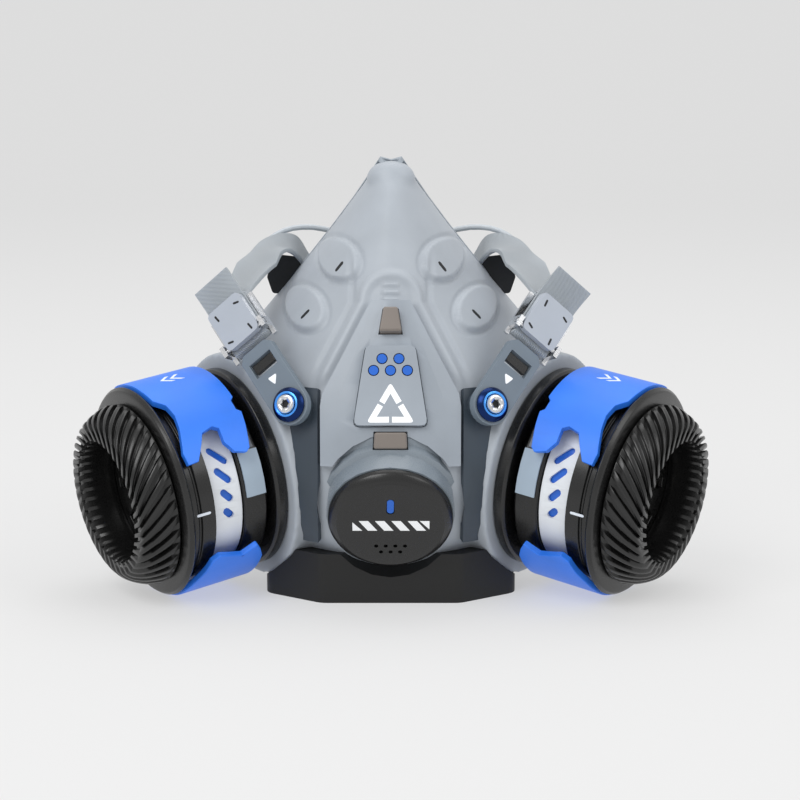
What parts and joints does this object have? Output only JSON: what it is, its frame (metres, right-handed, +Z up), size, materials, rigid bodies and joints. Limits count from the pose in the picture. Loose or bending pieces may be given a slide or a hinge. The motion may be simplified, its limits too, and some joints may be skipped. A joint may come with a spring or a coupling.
{
  "type": "half-mask respirator",
  "caption": "Half-mask respirator with a soft facepiece, twist-on side filters, a twist-off exhaust cover and a strap harness.",
  "frame": {"origin": "on the floor under the middle of the object's box", "axes": "+Z up, -Y out of the mask's front, +X to the viewer's right"},
  "size_m": [0.22, 0.1162, 0.1481],
  "materials": {
    "facepiece_silicone": "satin moulded",
    "seal_silicone": "matte",
    "grey_shell": "satin moulded",
    "gloss_grey_shell": "semi-gloss",
    "harness_grey": "satin moulded",
    "black_nylon": "satin",
    "blue_shell": "satin moulded",
    "blue_insert": "gloss",
    "light_band": "satin",
    "label_grey": "matte",
    "taupe_button": "satin",
    "buckle_grey": "satin",
    "stainless_steel": "brushed",
    "anodised_blue": "anodised",
    "webbing": "woven",
    "coated_wire": "coated",
    "valve_silicone": "matte",
    "gasket_rubber": "matte",
    "filter_fleece": "felted"
  },
  "bodies": {
    "root": {"facepiece": "facepiece_silicone", "face_seal": "seal_silicone", "front_body": "grey_shell", "front_panel": "grey_shell", "indicator_insert": "blue_insert", "exhaust_housing": "gloss_grey_shell", "exhalation_seat": "gloss_grey_shell", "chin_frame": "black_nylon", "head_bow": "coated_wire", "left_yoke": "harness_grey", "left_port": "black_nylon", "left_port_nut": "black_nylon", "left_pivot_screw": "stainless_steel", "left_pivot_washer": "anodised_blue", "right_yoke": "harness_grey", "right_port": "black_nylon", "right_port_nut": "black_nylon", "right_pivot_screw": "stainless_steel", "right_pivot_washer": "anodised_blue"},
    "left_filter": {"left_filter_body": "black_nylon", "left_filter_media": "filter_fleece", "left_filter_gasket": "gasket_rubber", "left_filter_cap": "black_nylon", "left_band": "light_band", "left_band_liner": "blue_insert", "left_clamp_upper": "blue_shell", "left_clamp_lower": "blue_shell", "left_label_plate": "label_grey", "left_grille": "black_nylon"},
    "left_vent_ring": {"left_vent_ring": "black_nylon"},
    "left_harness_arm": {"left_arm": "harness_grey", "left_buckle_frame": "stainless_steel", "left_buckle_pin": "stainless_steel", "left_strap": "webbing"},
    "left_buckle_plate": {"left_buckle_plate": "buckle_grey"},
    "left_release_slider": {"left_release_slider": "black_nylon"},
    "left_inhalation_valve": {"left_inhalation_valve": "valve_silicone"},
    "right_filter": {"right_filter_body": "black_nylon", "right_filter_media": "filter_fleece", "right_filter_gasket": "gasket_rubber", "right_filter_cap": "black_nylon", "right_band": "light_band", "right_band_liner": "blue_insert", "right_clamp_upper": "blue_shell", "right_clamp_lower": "blue_shell", "right_label_plate": "label_grey", "right_grille": "black_nylon"},
    "right_vent_ring": {"right_vent_ring": "black_nylon"},
    "right_harness_arm": {"right_arm": "harness_grey", "right_buckle_frame": "stainless_steel", "right_buckle_pin": "stainless_steel", "right_strap": "webbing"},
    "right_buckle_plate": {"right_buckle_plate": "buckle_grey"},
    "right_release_slider": {"right_release_slider": "black_nylon"},
    "right_inhalation_valve": {"right_inhalation_valve": "valve_silicone"},
    "exhaust_cover": {"exhaust_cover": "black_nylon", "cover_insert": "blue_insert"},
    "exhalation_valve": {"exhalation_valve": "valve_silicone"},
    "top_latch": {"top_latch": "taupe_button"},
    "bottom_latch": {"bottom_latch": "taupe_button"}
  },
  "joints": [
    {"name": "left_filter_twist", "type": "hinge", "parent": "root", "child": "left_filter", "pos_m": [-0.0533, -0.00698, 0.04215], "axis": [-0.8369, -0.527, -0.1478], "range_deg": [0, 30]},
    {"name": "left_vent_ring_turn", "type": "hinge", "parent": "left_filter", "child": "left_vent_ring", "pos_m": [-0.0533, -0.00698, 0.04215], "axis": [-0.8369, -0.527, -0.1478], "range_deg": [0, 40]},
    {"name": "left_arm_swivel", "type": "hinge", "parent": "root", "child": "left_harness_arm", "pos_m": [-0.03226, -0.03812, 0.06841], "axis": [-0.4339, -0.859, 0.2717], "range_deg": [-8, 8], "deforming": ["left_strap"]},
    {"name": "left_buckle_cam", "type": "hinge", "parent": "left_harness_arm", "child": "left_buckle_plate", "pos_m": [-0.04918, -0.02739, 0.09003], "axis": [0.7357, -0.1638, 0.6572], "range_deg": [0, 60]},
    {"name": "left_release_slide", "type": "slide", "parent": "left_harness_arm", "child": "left_release_slider", "axis": [0.52, -0.485, -0.7031], "range_m": [0, 0.0012], "stiffness_N_per_m": 150},
    {"name": "left_inhalation_lift", "type": "slide", "parent": "root", "child": "left_inhalation_valve", "axis": [0.8369, 0.527, 0.1478], "range_m": [0, 0.0015], "stiffness_N_per_m": 60},
    {"name": "right_filter_twist", "type": "hinge", "parent": "root", "child": "right_filter", "pos_m": [0.0533, -0.00698, 0.04215], "axis": [0.8369, -0.527, -0.1478], "range_deg": [0, 30]},
    {"name": "right_vent_ring_turn", "type": "hinge", "parent": "right_filter", "child": "right_vent_ring", "pos_m": [0.0533, -0.00698, 0.04215], "axis": [0.8369, -0.527, -0.1478], "range_deg": [0, 40]},
    {"name": "right_arm_swivel", "type": "hinge", "parent": "root", "child": "right_harness_arm", "pos_m": [0.03226, -0.03812, 0.06841], "axis": [0.4339, -0.859, 0.2717], "range_deg": [-8, 8], "deforming": ["right_strap"]},
    {"name": "right_buckle_cam", "type": "hinge", "parent": "right_harness_arm", "child": "right_buckle_plate", "pos_m": [0.04918, -0.02739, 0.09003], "axis": [0.7357, 0.1638, -0.6572], "range_deg": [0, 60]},
    {"name": "right_release_slide", "type": "slide", "parent": "right_harness_arm", "child": "right_release_slider", "axis": [-0.52, -0.485, -0.7031], "range_m": [0, 0.0012], "stiffness_N_per_m": 150},
    {"name": "right_inhalation_lift", "type": "slide", "parent": "root", "child": "right_inhalation_valve", "axis": [-0.8369, 0.527, 0.1478], "range_m": [0, 0.0015], "stiffness_N_per_m": 60},
    {"name": "exhaust_cover_twist", "type": "hinge", "parent": "root", "child": "exhaust_cover", "pos_m": [0, -0.04897, 0.03], "axis": [0, -0.8704, -0.4924], "range_deg": [0, 30]},
    {"name": "exhalation_lift", "type": "slide", "parent": "root", "child": "exhalation_valve", "axis": [0, -0.8704, -0.4924], "range_m": [0, 0.002], "stiffness_N_per_m": 60},
    {"name": "top_latch_push", "type": "slide", "parent": "root", "child": "top_latch", "axis": [0, 0.8907, -0.4546], "range_m": [0, 0.0012], "stiffness_N_per_m": 300},
    {"name": "bottom_latch_push", "type": "slide", "parent": "root", "child": "bottom_latch", "axis": [0, 0.9844, -0.1758], "range_m": [0, 0.0012], "stiffness_N_per_m": 300}
  ]
}
